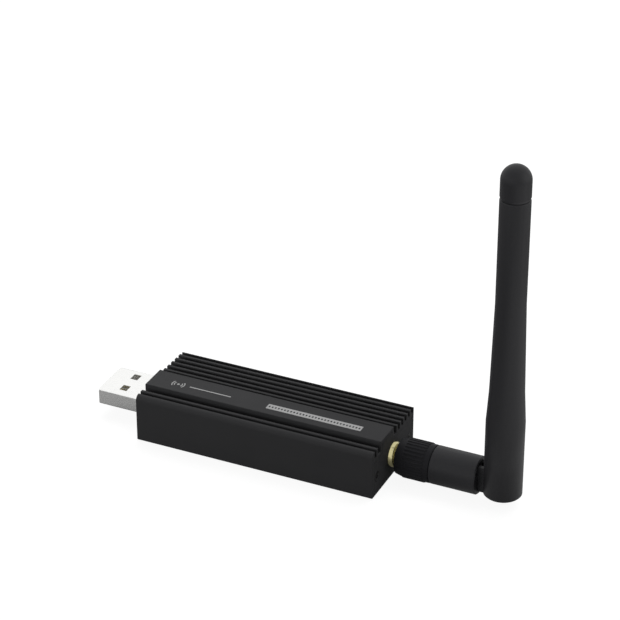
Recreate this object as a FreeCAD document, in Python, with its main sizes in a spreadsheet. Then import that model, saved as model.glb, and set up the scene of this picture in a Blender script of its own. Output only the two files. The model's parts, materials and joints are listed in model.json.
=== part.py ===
"""USB radio stick for a smart home hub: an extruded housing with a fold-over whip antenna.

Millimetres, +Z up. The stick lies along X with its USB plug at -X and its antenna at +X.
The origin is the middle of the housing's bottom face.
"""
import FreeCAD, Part
import math
import os
import re
import Sketcher

doc = FreeCAD.newDocument("usb_radio_stick")

# Driving sizes, in millimetres unless the name says otherwise
SIZES = {
    # Extruded housing
    "housing_length": 64.1,
    "housing_width": 25.5,
    "platform_top": 13.5,
    "platform_front": 5.1,
    "platform_width": 7.9,
    "groove_floor": 10.8,
    "front_wall_top": 12.8,
    "front_wall_width": 1.5,
    "front_groove_width": 1.0,
    "front_rib_width": 1.0,
    "rear_rib_start": 14.63,
    "rear_wall_width": 0.57,
    "rear_rib_width": 1.0,
    "rear_rib_count": 5,
    "rear_rib_top": 12.6,
    "rear_rib_fall": 0.075,
    "rear_wall_top": 12.1,
    "front_shoulder_radius": 1.4,
    "rear_shoulder_radius": 0.4,
    "bottom_edge_radius": 0.5,
    "rib_edge_radius": 0.18,
    "side_wall": 1.4,
    "floor_wall": 1.3,
    "top_wall": 1.0,
    "card_column_width": 3.15,
    "card_column_height": 7.2,
    "card_slot_depth": 0.6,
    # End plates and their screws
    "plate_thickness": 1.2,
    "plate_gap": 0.05,
    "plate_corner": 0.3,
    "screw_inset": 3.0,
    "screw_height": 4.9,
    "screw_shank_radius": 0.85,
    "screw_head_radius": 1.3,
    "screw_head_height": 0.6,
    "screw_length": 6.0,
    # USB plug
    "usb_reach": 14.4,
    "usb_depth": 9.4,
    "usb_width": 12.0,
    "usb_height": 4.5,
    "usb_axis": 5.4,
    "usb_sheet": 0.3,
    "usb_corner_radius": 0.6,
    "usb_window_from_tip": 5.9,
    "usb_window_length": 2.0,
    "usb_window_width": 2.5,
    "usb_window_offset": 2.9,
    "usb_gap": 0.1,
    "usb_tongue_height": 1.9,
    "usb_tongue_inset": 0.6,
    "usb_block_length": 7.6,
    "usb_contact_width": 1.0,
    "usb_contact_thickness": 0.15,
    "usb_contact_pitch_inner": 2.0,
    "usb_contact_pitch_outer": 7.0,
    "usb_contact_tail": 1.6,
    # Circuit board and what it carries
    "board_thickness": 1.2,
    "board_gap": 0.1,
    "shield_length": 17.0,
    "shield_side_gap": 1.2,
    "shield_height": 2.4,
    "shield_sheet": 0.2,
    "shield_from_jack": 7.5,
    "radio_chip_size": 7.0,
    "radio_chip_height": 0.9,
    "bridge_chip_size": 5.0,
    "bridge_chip_height": 0.85,
    "bridge_chip_from_usb": 7.0,
    "bridge_chip_inset": 4.7,
    "crystal_length": 3.2,
    "crystal_width": 2.5,
    "crystal_height": 0.7,
    "crystal_inset": 4.7,
    "regulator_length": 6.5,
    "regulator_width": 3.5,
    "regulator_height": 1.6,
    "regulator_from_usb": 8.0,
    "regulator_from_row": 4.6,
    "regulator_lead_width": 0.7,
    "regulator_lead_reach": 1.5,
    "regulator_lead_pitch": 2.3,
    "switch_size": 4.0,
    "switch_height": 1.6,
    "switch_from_shield": 8.2,
    "switch_inset": 4.7,
    "button_radius": 0.9,
    "button_rise": 0.6,
    "button_sink": 1.0,
    "button_travel": 0.25,
    "led_length": 1.6,
    "led_width": 0.8,
    "led_height": 0.6,
    "led_from_usb": 15.0,
    "led_inset": 2.7,
    "led_pitch": 3.0,
    "passive_length": 1.0,
    "passive_width": 0.5,
    "passive_height": 0.5,
    "passive_pitch": 1.6,
    "passive_row_count": 4,
    "capacitors_from_usb": 3.4,
    "resistors_from_usb": 10.5,
    "passives_side": 0.4,
    "passives_past_shield": 1.4,
    "passives_inset": 2.3,
    # Antenna jack on the end plate
    "antenna_axis": 5.76,
    "jack_flange_radius": 3.9,
    "jack_flange_length": 1.6,
    "jack_thread_radius": 3.175,
    "jack_reach": 7.6,
    "jack_mouth_radius": 2.325,
    "jack_mouth_depth": 1.9,
    "jack_bore_radius": 2.07,
    "jack_leg_size": 1.0,
    "jack_leg_length": 4.0,
    "jack_leg_spread": 2.9,
    "jack_contact_radius": 0.635,
    "jack_socket_radius": 0.5,
    "jack_socket_depth": 3.0,
    "jack_tail_radius": 0.4,
    "jack_tail_length": 3.0,
    "thread_gap": 0.05,
    # Antenna plug, its turning nut and grip
    "grip_start": 2.0,
    "grip_end": 10.9,
    "grip_radius": 4.8,
    "grip_rim_radius": 4.45,
    "grip_rim_length": 1.5,
    "edge_chamfer": 0.25,
    "ridge_start": 4.0,
    "ridge_end": 9.45,
    "ridge_radius": 5.0,
    "ridge_root_width": 0.62,
    "ridge_top_width": 0.34,
    "ridge_count": 32,
    "nut_start": 2.3,
    "nut_end": 9.5,
    "nut_radius": 4.0,
    "nut_lip_length": 0.9,
    "nut_lip_gap": 0.1,
    "grip_bore_gap": 0.15,
    "press_gap": 0.02,
    "plug_tube_radius": 2.275,
    "plug_bead_radius": 2.05,
    "plug_flange_radius": 3.1,
    "plug_flange_length": 0.9,
    "plug_seat_gap": 0.05,
    "plug_stem_radius": 2.4,
    "plug_stem_end": 16.0,
    "plug_bead_end": 10.0,
    "plug_cable_radius": 0.75,
    "plug_pin_radius": 0.46,
    "plug_pin_reach": 2.5,
    "plug_pin_end": 9.5,
    "clip_start": 14.0,
    "clip_thickness": 0.5,
    "clip_radius": 2.8,
    "clip_groove_depth": 0.3,
    "clip_opening": 2.0,
    "clip_gap": 0.1,
    "turning_gap": 0.05,
    # Swivelling barrel with its two hinge lugs
    "barrel_start": 10.95,
    "barrel_end": 22.95,
    "barrel_radius": 4.79,
    "barrel_cable_radius": 1.1,
    "barrel_stop_gap": 0.3,
    "pivot_reach": 28.7,
    "lug_radius": 3.4,
    "lug_outer": 1.9,
    "lug_inner": 0.85,
    "trunnion_radius": 1.5,
    "trunnion_length": 1.2,
    # Upright antenna cover
    "knuckle_radius": 4.76,
    "knuckle_bottom": 2.4,
    "knuckle_chamfer": 0.3,
    "knuckle_top": 22.8,
    "neck_height": 31.0,
    "neck_radius": 4.27,
    "mast_height": 54.5,
    "mast_radius": 3.68,
    "seam_height": 81.8,
    "seam_groove_half": 0.55,
    "seam_groove_depth": 0.2,
    "cover_bore_radius": 2.6,
    "cover_bore_start": 18.0,
    "cover_throat_radius": 1.3,
    "cover_throat_end": 15.5,
    "slot_half_width": 2.05,
    "slot_reach": 3.7,
    "slot_corner_radius": 2.5,
    "trunnion_gap": 0.05,
    "trunnion_end_gap": 0.1,
    "cap_straight": 4.6,
    "cap_spigot_length": 3.0,
    "cap_spigot_gap": 0.03,
    # Antenna conductors
    "cable_radius": 0.7,
    "cable_bend_radius": 5.0,
    "cable_top": 43.5,
    "sleeve_bottom": 20.0,
    "sleeve_radius": 2.3,
    "sleeve_bore_radius": 2.0,
    "whip_radius": 0.5,
    "whip_tip_gap": 5.3,
}

# Places and sizes that follow from the driving ones
DERIVED = {
    "end_face": "housing_length / 2",
    "half_width": "housing_width / 2",
    "inner_half_width": "half_width - side_wall",
    "cavity_top": "groove_floor - top_wall",
    "rear_rib_pitch": "(housing_width - rear_rib_start - rear_wall_width) / rear_rib_count",
    "platform_left": "platform_front - half_width",
    "platform_right": "platform_left + platform_width",
    "ceiling": "platform_top - top_wall",
    "ceiling_left": "platform_left + top_wall",
    "ceiling_right": "platform_right - top_wall",
    "column_side": "inner_half_width - card_column_width",
    "slot_side": "column_side + card_slot_depth",
    "board_half_width": "slot_side - board_gap",
    "board_top": "antenna_axis - jack_tail_radius",
    "board_bottom": "board_top - board_thickness",
    "plate_inner_face": "end_face - plate_thickness",
    "screw_side": "half_width - screw_inset",
    "usb_tip": "-end_face - usb_reach",
    "usb_rear": "-end_face + usb_depth",
    "usb_bottom": "usb_axis - usb_height / 2",
    "usb_top": "usb_axis + usb_height / 2",
    "usb_inner_half_width": "usb_width / 2 - usb_sheet",
    "usb_floor": "usb_bottom + usb_sheet + usb_fit",
    "usb_fit": "usb_gap / 2",
    "tongue_top": "usb_floor + usb_tongue_height",
    "board_left": "usb_rear + board_gap",
    "board_end": "jack_rear - board_gap",
    "jack_rear": "plate_inner_face - jack_flange_length",
    "jack_mouth": "end_face + jack_reach",
    "jack_seat": "jack_mouth - jack_mouth_depth",
    "flange_front": "jack_mouth + plug_seat_gap",
    "flange_back": "flange_front + plug_flange_length",
    "lip_face": "end_face + nut_end - nut_lip_length",
    "nut_bore_radius": "jack_thread_radius + thread_gap",
    "stem_end": "end_face + plug_stem_end",
    "clip_face": "end_face + clip_start",
    "clip_back": "clip_face + clip_thickness",
    "clip_inner_radius": "plug_stem_radius - clip_groove_depth + turning_gap",
    "barrel_bore_radius": "plug_stem_radius + turning_gap",
    "barrel_face": "end_face + barrel_end",
    "pivot": "end_face + pivot_reach",
    "shield_end": "board_end - shield_from_jack",
    "shield_start": "shield_end - shield_length",
    "shield_side": "column_side - shield_side_gap",
    "whip_length": "seam_height - cap_spigot_length - whip_tip_gap - cable_top",
}

sheet = doc.addObject("Spreadsheet::Sheet", "dims")
for row, (alias, number) in enumerate(SIZES.items(), start=1):
    sheet.set("A%d" % row, alias)
    sheet.set("B%d" % row, str(number))
    sheet.setAlias("B%d" % row, alias)
doc.recompute()


def formula(text, prefix="dims."):
    """A size expression with each name turned into its cell of the sheet."""
    def expand(match):
        word = match.group(0)
        if word in DERIVED:
            return "(" + formula(DERIVED[word], prefix) + ")"
        if word in SIZES:
            return prefix + word
        return word
    return re.sub(r"[a-z][a-z_]*", expand, str(text))


def value(text):
    """The number that a size expression gives now."""
    return float(sheet.evalExpression(formula(text, "")))


def bind(item, **sizes):
    """Ties properties of an object to size expressions."""
    for name, text in sizes.items():
        item.setExpression(name, formula(text))


def place(item, x="0", y="0", z="0"):
    """Ties an object's position to size expressions."""
    for axis, text in zip("xyz", (x, y, z)):
        item.setExpression(".Placement.Base." + axis, formula(text))
    return item


def turn(item, axis, degrees):
    item.Placement.Rotation = FreeCAD.Rotation(FreeCAD.Vector(*axis), degrees)
    return item


def new_body(label, x="0", y="0", z="0"):
    body = doc.addObject("PartDesign::Body", label)
    body.Label = label
    return place(body, x, y, z)


def new_sketch(body, plane, offset="0"):
    """A sketch on one of the body's own origin planes, moved along that plane's normal."""
    sketch = body.newObject("Sketcher::SketchObject", body.Label + "_sketch")
    datum = [item for item in body.Origin.OriginFeatures if item.Role == plane + "_Plane"][0]
    sketch.AttachmentSupport = [(datum, "")]
    sketch.MapMode = "FlatFace"
    if offset != "0":
        sketch.setExpression(".AttachmentOffset.Base.z", formula(offset))
    return sketch


def signed(text, sign):
    return "%s (%s)" % ("+" if sign > 0 else "-", text)


def rounded(corners):
    """Square corners (x, y, radius) opened into two tangent points, joined by an arc or a chamfer."""
    count = len(corners)
    here = [(value(corner[0]), value(corner[1])) for corner in corners]
    points = []
    for index, corner in enumerate(corners):
        if len(corner) < 3 or isinstance(corner[2], tuple):
            points.append(corner)
            continue
        before, after = here[index - 1], here[(index + 1) % count]
        x, y, radius = corner[:3]
        ways = []
        for other in (before, after):
            run = (other[0] - here[index][0], other[1] - here[index][1])
            if abs(run[0]) > abs(run[1]):
                ways.append(("(%s) %s" % (x, signed(radius, run[0])), y))
            else:
                ways.append((x, "(%s) %s" % (y, signed(radius, run[1]))))
        arriving = (here[index][0] - before[0], here[index][1] - before[1])
        leaving = (after[0] - here[index][0], after[1] - here[index][1])
        side = 1 if arriving[0] * leaving[1] - arriving[1] * leaving[0] > 0 else -1
        first = ways[0] if "chamfer" in corner else ways[0] + ((radius, side),)
        points += [first, ways[1]]
    return points


def draw(sketch, corners, closed=True):
    """Draws lines and arcs through points whose places and radii follow the sheet.

    A third item says what follows the point: a radius rounds that corner, or cuts it where
    "chamfer" comes after it, and a pair (radius, side) is an arc to the next point with its
    centre to the left (1) or right (-1).
    """
    points = rounded(corners) if closed else corners
    here = [FreeCAD.Vector(value(point[0]), value(point[1]), 0) for point in points]
    count = len(points)
    first = sketch.GeometryCount
    ends = []
    for index in range(count if closed else count - 1):
        start, stop = here[index], here[(index + 1) % count]
        if len(points[index]) < 3:
            sketch.addGeometry(Part.LineSegment(start, stop))
            ends.append((1, 2))
            continue
        radius_text, side = points[index][2]
        radius = value(radius_text)
        run = stop - start
        reach = math.sqrt(max(radius ** 2 - (run.Length / 2) ** 2, 0))
        across = FreeCAD.Vector(-run.y, run.x, 0).normalize() * reach * side
        centre = (start + stop) / 2 + across
        angles = [math.atan2(spot.y - centre.y, spot.x - centre.x) for spot in (start, stop)]
        if side < 0:
            angles.reverse()
        circle = Part.Circle(centre, FreeCAD.Vector(0, 0, 1), radius)
        sketch.addGeometry(Part.ArcOfCircle(circle, *angles))
        ends.append((1, 2) if side > 0 else (2, 1))
    rules = []
    texts = []

    def rule(text, *arguments):
        rules.append(Sketcher.Constraint(*arguments))
        texts.append(text)

    for index, (start, stop) in enumerate(ends):
        edge = first + index
        if closed or index + 1 < len(ends):
            following = first + (index + 1) % len(ends)
            rule(None, "Coincident", edge, stop, following, ends[(index + 1) % len(ends)][0])
        rule(points[index][0], "DistanceX", edge, start, here[index].x)
        rule(points[index][1], "DistanceY", edge, start, here[index].y)
        if len(points[index]) == 3:
            rule(points[index][2][0], "Radius", edge, value(points[index][2][0]))
    if not closed:
        rule(points[-1][0], "DistanceX", first + len(ends) - 1, ends[-1][1], here[-1].x)
        rule(points[-1][1], "DistanceY", first + len(ends) - 1, ends[-1][1], here[-1].y)
    start_at = sketch.ConstraintCount
    sketch.addConstraint(rules)
    for index, text in enumerate(texts):
        if text is not None:
            sketch.setExpression("Constraints[%d]" % (start_at + index), formula(text))
    return sketch


def draw_circle(sketch, x, y, radius):
    centre = FreeCAD.Vector(value(x), value(y), 0)
    circle = Part.Circle(centre, FreeCAD.Vector(0, 0, 1), value(radius))
    index = sketch.addGeometry(circle)
    for text, rule in (
        (x, Sketcher.Constraint("DistanceX", index, 3, centre.x)),
        (y, Sketcher.Constraint("DistanceY", index, 3, centre.y)),
        (radius, Sketcher.Constraint("Radius", index, value(radius))),
    ):
        place_in_list = sketch.addConstraint(rule)
        sketch.setExpression("Constraints[%d]" % place_in_list, formula(text))


def rectangle(x_low, x_high, y_low, y_high, radius=None):
    corners = [(x_low, y_low), (x_high, y_low), (x_high, y_high), (x_low, y_high)]
    return corners if radius is None else [corner + (radius,) for corner in corners]


def pad(body, sketch, length, middle=False, backwards=False):
    feature = body.newObject("PartDesign::Pad", body.Label + "_pad")
    feature.Profile = sketch
    feature.Midplane = middle
    feature.Reversed = backwards
    bind(feature, Length=length)
    doc.recompute()
    return feature


def pocket(body, sketch, length, middle=False, backwards=False):
    """A cut, checked to have taken something away. It runs against the sketch's normal."""
    before = body.Shape.Volume
    feature = body.newObject("PartDesign::Pocket", body.Label + "_pocket")
    feature.Profile = sketch
    feature.Midplane = middle
    feature.Reversed = backwards
    bind(feature, Length=length)
    doc.recompute()
    if body.Shape.Volume >= before:
        raise ValueError("a cut in %s takes nothing away" % body.Label)
    return feature


def revolve(body, sketch, axis):
    feature = body.newObject("PartDesign::Revolution", body.Label + "_revolution")
    feature.Profile = sketch
    feature.ReferenceAxis = (sketch, [axis])
    feature.Angle = 360
    doc.recompute()
    return feature


def turned_part(label, corners):
    """A part turned about the antenna's axis: corners are (place along X, radius)."""
    body = new_body(label, z="antenna_axis")
    revolve(body, draw(new_sketch(body, "XZ"), corners), "H_Axis")
    return body


def upright_part(label, corners):
    """A part turned about the upright's own axis: corners are (radius, height)."""
    body = new_body(label, x="pivot")
    revolve(body, draw(new_sketch(body, "XZ"), corners), "V_Axis")
    return body


def block(label, x_low, x_high, y_low, y_high, z_low, z_high):
    item = doc.addObject("Part::Box", label)
    item.Label = label
    bind(
        item,
        Length="(%s) - (%s)" % (x_high, x_low),
        Width="(%s) - (%s)" % (y_high, y_low),
        Height="(%s) - (%s)" % (z_high, z_low),
    )
    return place(item, x_low, y_low, z_low)


def chip(label, x, y, length, width, height, base="board_top"):
    """A box part that sits on the board, given by its middle."""
    return block(
        label,
        "(%s) - (%s) / 2" % (x, length), "(%s) + (%s) / 2" % (x, length),
        "(%s) - (%s) / 2" % (y, width), "(%s) + (%s) / 2" % (y, width),
        base, "(%s) + (%s)" % (base, height),
    )


def rod(label, radius, length, x, y, z, along="Z"):
    item = doc.addObject("Part::Cylinder", label)
    item.Label = label
    bind(item, Radius=radius, Height=length)
    if along == "X":
        turn(item, (0, 1, 0), 90)
    return place(item, x, y, z)


def union(label, items):
    item = doc.addObject("Part::MultiFuse", label)
    item.Label = label
    item.Shapes = items
    return place(item)


def group(label, items):
    """Identical separate solids that share one name."""
    item = doc.addObject("Part::Compound", label)
    item.Label = label
    item.Links = items
    return place(item)


def mouth_outline(gap):
    """The end plate's seat in the housing, with the raised ceiling under the platform."""
    low, high = "floor_wall + %s" % gap, "cavity_top - %s" % gap
    left, right = "-inner_half_width + %s" % gap, "inner_half_width - %s" % gap
    step_left, step_right = "ceiling_left + %s" % gap, "ceiling_right - %s" % gap
    return [
        (left, low, "plate_corner", "chamfer"),
        (right, low, "plate_corner", "chamfer"),
        (right, high, "plate_corner", "chamfer"),
        (step_right, high),
        (step_right, "ceiling - %s" % gap, "plate_corner", "chamfer"),
        (step_left, "ceiling - %s" % gap, "plate_corner", "chamfer"),
        (step_left, high),
        (left, high, "plate_corner", "chamfer"),
    ]


def housing_outline():
    """The housing's outer section, from the bottom front edge round to the front shoulder."""
    inner_rear = "half_width - rear_wall_width"
    corners = [
        ("-half_width", "0", "bottom_edge_radius"),
        ("half_width", "0", "bottom_edge_radius"),
        ("half_width", "rear_wall_top", "rear_shoulder_radius"),
        (inner_rear, "rear_wall_top"),
        (inner_rear, "groove_floor"),
    ]
    for index in reversed(range(int(SIZES["rear_rib_count"]))):
        near = "rear_rib_start + %d * rear_rib_pitch - half_width" % index
        far = near + " + rear_rib_width"
        top = "rear_rib_top - %d * rear_rib_fall" % index
        corners += [
            (far, "groove_floor"),
            (far, top, "rib_edge_radius"),
            (near, top, "rib_edge_radius"),
            (near, "groove_floor"),
        ]
    rib_near = "front_wall_width + front_groove_width - half_width"
    rib_far = rib_near + " + front_rib_width"
    wall_far = "front_wall_width - half_width"
    corners += [
        ("platform_right", "groove_floor"),
        ("platform_right", "platform_top", "rib_edge_radius"),
        ("platform_left", "platform_top", "rib_edge_radius"),
        ("platform_left", "groove_floor"),
        (rib_far, "groove_floor"),
        (rib_far, "front_wall_top", "rib_edge_radius"),
        (rib_near, "front_wall_top", "rib_edge_radius"),
        (rib_near, "groove_floor"),
        (wall_far, "groove_floor"),
        (wall_far, "front_wall_top"),
        ("-half_width", "front_wall_top", "front_shoulder_radius"),
    ]
    return corners


def cavity_outline():
    """The space inside: a column in each lower corner carries a card slot and a screw."""
    slot_top = "board_top + board_gap"
    column_top = "floor_wall + card_column_height"
    return [
        ("-column_side", "floor_wall"),
        ("column_side", "floor_wall"),
        ("column_side", "board_bottom"),
        ("slot_side", "board_bottom"),
        ("slot_side", slot_top),
        ("column_side", slot_top),
        ("column_side", column_top),
        ("inner_half_width", column_top),
        ("inner_half_width", "cavity_top"),
        ("ceiling_right", "cavity_top"),
        ("ceiling_right", "ceiling"),
        ("ceiling_left", "ceiling"),
        ("ceiling_left", "cavity_top"),
        ("-inner_half_width", "cavity_top"),
        ("-inner_half_width", column_top),
        ("-column_side", column_top),
        ("-column_side", slot_top),
        ("-slot_side", slot_top),
        ("-slot_side", "board_bottom"),
        ("-column_side", "board_bottom"),
    ]


def make_housing():
    body = new_body("housing_extrusion")
    section = draw(new_sketch(body, "YZ"), housing_outline())
    draw(section, cavity_outline())
    for side in ("-", ""):
        draw_circle(section, side + "screw_side", "screw_height", "screw_shank_radius")
    pad(body, section, "housing_length", middle=True)
    seat = draw(new_sketch(body, "YZ", "end_face"), mouth_outline("0"))
    cut = pocket(body, seat, "plate_thickness")
    mirror = body.newObject("PartDesign::Mirrored", "housing_other_end")
    mirror.Originals = [cut]
    plane = [item for item in body.Origin.OriginFeatures if item.Role == "YZ_Plane"][0]
    mirror.MirrorPlane = (plane, [""])
    body.Tip = mirror
    return body


def make_end_plate(label, start, outside, opening):
    """An end plate with two counterbored screw holes and the hole that `opening` draws."""
    body = new_body(label, x=start)
    sketch = draw(new_sketch(body, "YZ"), mouth_outline("plate_gap"))
    for side in ("-", ""):
        draw_circle(sketch, side + "screw_side", "screw_height", "screw_shank_radius + plate_gap")
    opening(sketch)
    pad(body, sketch, "plate_thickness")
    seats = new_sketch(body, "YZ", "plate_thickness" if outside > 0 else "0")
    for side in ("-", ""):
        draw_circle(seats, side + "screw_side", "screw_height", "screw_head_radius + plate_gap")
    pocket(body, seats, "screw_head_height", backwards=outside < 0)
    return body


def usb_opening(sketch):
    half = "(usb_width / 2 + usb_gap)"
    draw(sketch, rectangle(
        "-" + half, half, "usb_bottom - usb_gap", "usb_top + usb_gap", "usb_corner_radius",
    ))


def jack_opening(sketch):
    draw_circle(sketch, "0", "antenna_axis", "jack_thread_radius + thread_gap")


def make_screws():
    screws = []
    for end in (-1, 1):
        for side in ("-", ""):
            name = "screw_%d" % (len(screws) + 1)
            shank_start = "end_face - screw_length" if end > 0 else "-end_face"
            head_start = "end_face - screw_head_height" if end > 0 else "-end_face"
            where = (side + "screw_side", "screw_height")
            shank = rod(
                name + "_shank", "screw_shank_radius", "screw_length", shank_start, *where, along="X",
            )
            head = rod(
                name + "_head", "screw_head_radius", "screw_head_height", head_start, *where, along="X",
            )
            screws.append(union(name, [shank, head]))
    return group("end_plate_screws", screws)


def make_usb_shell():
    """A folded sheet tube, open at the tip, with two latch windows in its top and bottom."""
    body = new_body("usb_shell", x="usb_tip")
    sketch = new_sketch(body, "YZ")
    draw(sketch, rectangle("-usb_width / 2", "usb_width / 2", "usb_bottom", "usb_top", "usb_corner_radius"))
    draw(sketch, rectangle(
        "-usb_inner_half_width", "usb_inner_half_width",
        "usb_bottom + usb_sheet", "usb_top - usb_sheet", "usb_corner_radius - usb_sheet",
    ))
    pad(body, sketch, "usb_reach + usb_depth")
    windows = new_sketch(body, "XY", "usb_axis")
    for side in ("-", ""):
        middle = side + "usb_window_offset"
        draw(windows, rectangle(
            "usb_window_from_tip - usb_window_length / 2", "usb_window_from_tip + usb_window_length / 2",
            middle + " - usb_window_width / 2", middle + " + usb_window_width / 2",
        ))
    pocket(body, windows, "usb_height * 2", middle=True)
    return body


def make_usb_insulator():
    """The contact tongue and the block that closes the shell, with a slot for each contact."""
    body = new_body("usb_insulator")
    start = "usb_tip + usb_tongue_inset"
    half = "(usb_inner_half_width - usb_fit)"
    roof = "usb_top - usb_sheet - usb_fit"
    section = draw(new_sketch(body, "YZ", start), rectangle(
        "-" + half, half, "usb_floor", roof, "usb_corner_radius - usb_sheet",
    ))
    pad(body, section, "usb_rear - (%s)" % start)
    space = draw(new_sketch(body, "XZ"), rectangle(
        start + " - usb_gap", "usb_rear - usb_block_length", "tongue_top", roof + " + usb_gap",
    ))
    pocket(body, space, "2 * usb_width", middle=True)
    slots = new_sketch(body, "YZ", "usb_rear")
    for middle in contact_places():
        draw(slots, rectangle(
            middle + " - usb_contact_width / 2 - usb_fit", middle + " + usb_contact_width / 2 + usb_fit",
            "tongue_top", "tongue_top + usb_contact_thickness + usb_fit",
        ))
    pocket(body, slots, "usb_block_length")
    return body


def contact_places():
    return [
        "-usb_contact_pitch_outer / 2", "-usb_contact_pitch_inner / 2",
        "usb_contact_pitch_inner / 2", "usb_contact_pitch_outer / 2",
    ]


def make_usb_contacts():
    """Four flat contacts; the outer pair reaches nearer the tip, so power is made first."""
    strips = []
    for index, middle in enumerate(contact_places()):
        inset = "2 * usb_tongue_inset" if index in (0, 3) else "4 * usb_tongue_inset"
        strips.append(block(
            "contact_%d" % (index + 1),
            "usb_tip + " + inset, "usb_rear + usb_contact_tail",
            middle + " - usb_contact_width / 2", middle + " + usb_contact_width / 2",
            "tongue_top", "tongue_top + usb_contact_thickness",
        ))
    return group("usb_contacts", strips)


def make_board():
    """The circuit board, with a notch for the USB shell at one end."""
    body = new_body("circuit_board", z="board_bottom")
    notch = "usb_width / 2 + usb_gap"
    start = "-plate_inner_face + board_gap"
    sketch = draw(new_sketch(body, "XY"), [
        (start, "-board_half_width"),
        ("board_end", "-board_half_width"),
        ("board_end", "board_half_width"),
        (start, "board_half_width"),
        (start, notch),
        ("board_left", notch),
        ("board_left", "-(%s)" % notch),
        (start, "-(%s)" % notch),
    ])
    pad(body, sketch, "board_thickness")
    return body


def make_shield():
    """A thin can, open below, over the radio."""
    outer = block(
        "shield_outer", "shield_start", "shield_end", "-shield_side", "shield_side",
        "board_top", "board_top + shield_height",
    )
    inner = block(
        "shield_inner",
        "shield_start + shield_sheet", "shield_end - shield_sheet",
        "shield_sheet - shield_side", "shield_side - shield_sheet",
        "board_top - shield_sheet", "board_top + shield_height - shield_sheet",
    )
    can = doc.addObject("Part::Cut", "radio_shield_can")
    can.Label = "radio_shield_can"
    can.Base = outer
    can.Tool = inner
    return place(can)


def make_regulator():
    """The voltage regulator: a case with a wide tab and three leads."""
    x, y = "board_left + regulator_from_usb", "passives_side + regulator_from_row"
    parts = [chip("regulator_case", x, y, "regulator_length", "regulator_width", "regulator_height")]
    edge = y + " - regulator_width / 2"
    thickness = "regulator_height / 5"
    for index in (-1, 0, 1):
        middle = "%s + %d * regulator_lead_pitch" % (x, index)
        parts.append(block(
            "regulator_lead_%d" % (index + 2),
            middle + " - regulator_lead_width / 2", middle + " + regulator_lead_width / 2",
            edge + " - regulator_lead_reach", edge, "board_top", "board_top + " + thickness,
        ))
    return union("voltage_regulator", parts)


def make_boot_switch():
    """The switch case, bored for its button, and the button that travels in it."""
    x, y = "shield_start - switch_from_shield", "switch_inset - board_half_width"
    case = chip("switch_block", x, y, "switch_size", "switch_size", "switch_height")
    sink = "button_sink + button_travel + board_gap"
    top = "board_top + switch_height"
    bore = rod(
        "switch_bore", "button_radius + board_gap", sink + " + board_gap",
        x, y, top + " - (%s)" % sink,
    )
    cut = doc.addObject("Part::Cut", "boot_switch_case")
    cut.Label = "boot_switch_case"
    cut.Base = case
    cut.Tool = bore
    place(cut)
    button = rod("boot_button", "button_radius", "button_sink + button_rise", x, y, top + " - button_sink")
    return [cut, button]


def make_passives(label, starts):
    """Rows of small chip parts that run along the board."""
    chips = []
    for x, y in starts:
        for index in range(int(SIZES["passive_row_count"])):
            chips.append(chip(
                "%s_%d" % (label, len(chips) + 1),
                "%s + %d * passive_pitch" % (x, index), y,
                "passive_length", "passive_width", "passive_height",
            ))
    return group(label, chips)


def make_board_parts():
    shield_middle = "shield_end - shield_length / 2"
    parts = [
        make_shield(),
        chip("radio_chip", shield_middle, "0", "radio_chip_size", "radio_chip_size", "radio_chip_height"),
        chip(
            "radio_crystal", shield_middle + " + radio_chip_size", "board_half_width - crystal_inset",
            "crystal_width", "crystal_length", "crystal_height",
        ),
        chip(
            "usb_bridge_chip", "board_left + bridge_chip_from_usb", "bridge_chip_inset - board_half_width",
            "bridge_chip_size", "bridge_chip_size", "bridge_chip_height",
        ),
        make_regulator(),
        group("status_leds", [
            chip(
                "led_%d" % (index + 1),
                "board_left + led_from_usb", "board_half_width - led_inset - %d * led_pitch" % index,
                "led_width", "led_length", "led_height",
            )
            for index in range(2)
        ]),
        make_passives("chip_capacitors", (
            ("board_left + capacitors_from_usb", "passives_side"),
            ("shield_end + passives_past_shield", "board_half_width - passives_inset"),
        )),
        make_passives("chip_resistors", (
            ("board_left + resistors_from_usb", "passives_side"),
            ("shield_end + passives_past_shield", "passives_inset - board_half_width"),
        )),
    ]
    return parts + make_boot_switch()


def make_jack():
    """The threaded jack: a flange inside the end plate and four legs astride the board."""
    body = turned_part("antenna_jack_body", [
        ("jack_rear", "jack_bore_radius"),
        ("jack_seat", "jack_bore_radius"),
        ("jack_seat", "jack_mouth_radius"),
        ("jack_mouth", "jack_mouth_radius"),
        ("jack_mouth", "jack_thread_radius", "edge_chamfer", "chamfer"),
        ("plate_inner_face", "jack_thread_radius"),
        ("plate_inner_face", "jack_flange_radius"),
        ("jack_rear", "jack_flange_radius"),
    ])
    legs = new_sketch(body, "YZ", "jack_rear")
    upper = "board_top - antenna_axis + board_gap"
    lower = "board_bottom - antenna_axis - board_gap"
    for side in (-1, 1):
        near = "%d * jack_leg_spread - jack_leg_size / 2" % side
        far = near + " + jack_leg_size"
        draw(legs, rectangle(near, far, upper, upper + " + jack_leg_size"))
        draw(legs, rectangle(near, far, lower + " - jack_leg_size", lower))
    pad(body, legs, "jack_leg_length", backwards=True)
    insulator = turned_part("antenna_jack_insulator", rectangle(
        "jack_rear", "jack_seat", "jack_contact_radius + press_gap", "jack_bore_radius - press_gap",
    ))
    contact = turned_part("antenna_jack_contact", [
        ("jack_rear - jack_tail_length", "0"),
        ("jack_seat - jack_socket_depth", "0"),
        ("jack_seat - jack_socket_depth", "jack_socket_radius"),
        ("jack_seat", "jack_socket_radius"),
        ("jack_seat", "jack_contact_radius"),
        ("jack_rear", "jack_contact_radius"),
        ("jack_rear", "jack_tail_radius"),
        ("jack_rear - jack_tail_length", "jack_tail_radius"),
    ])
    return [body, insulator, contact]


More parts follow.
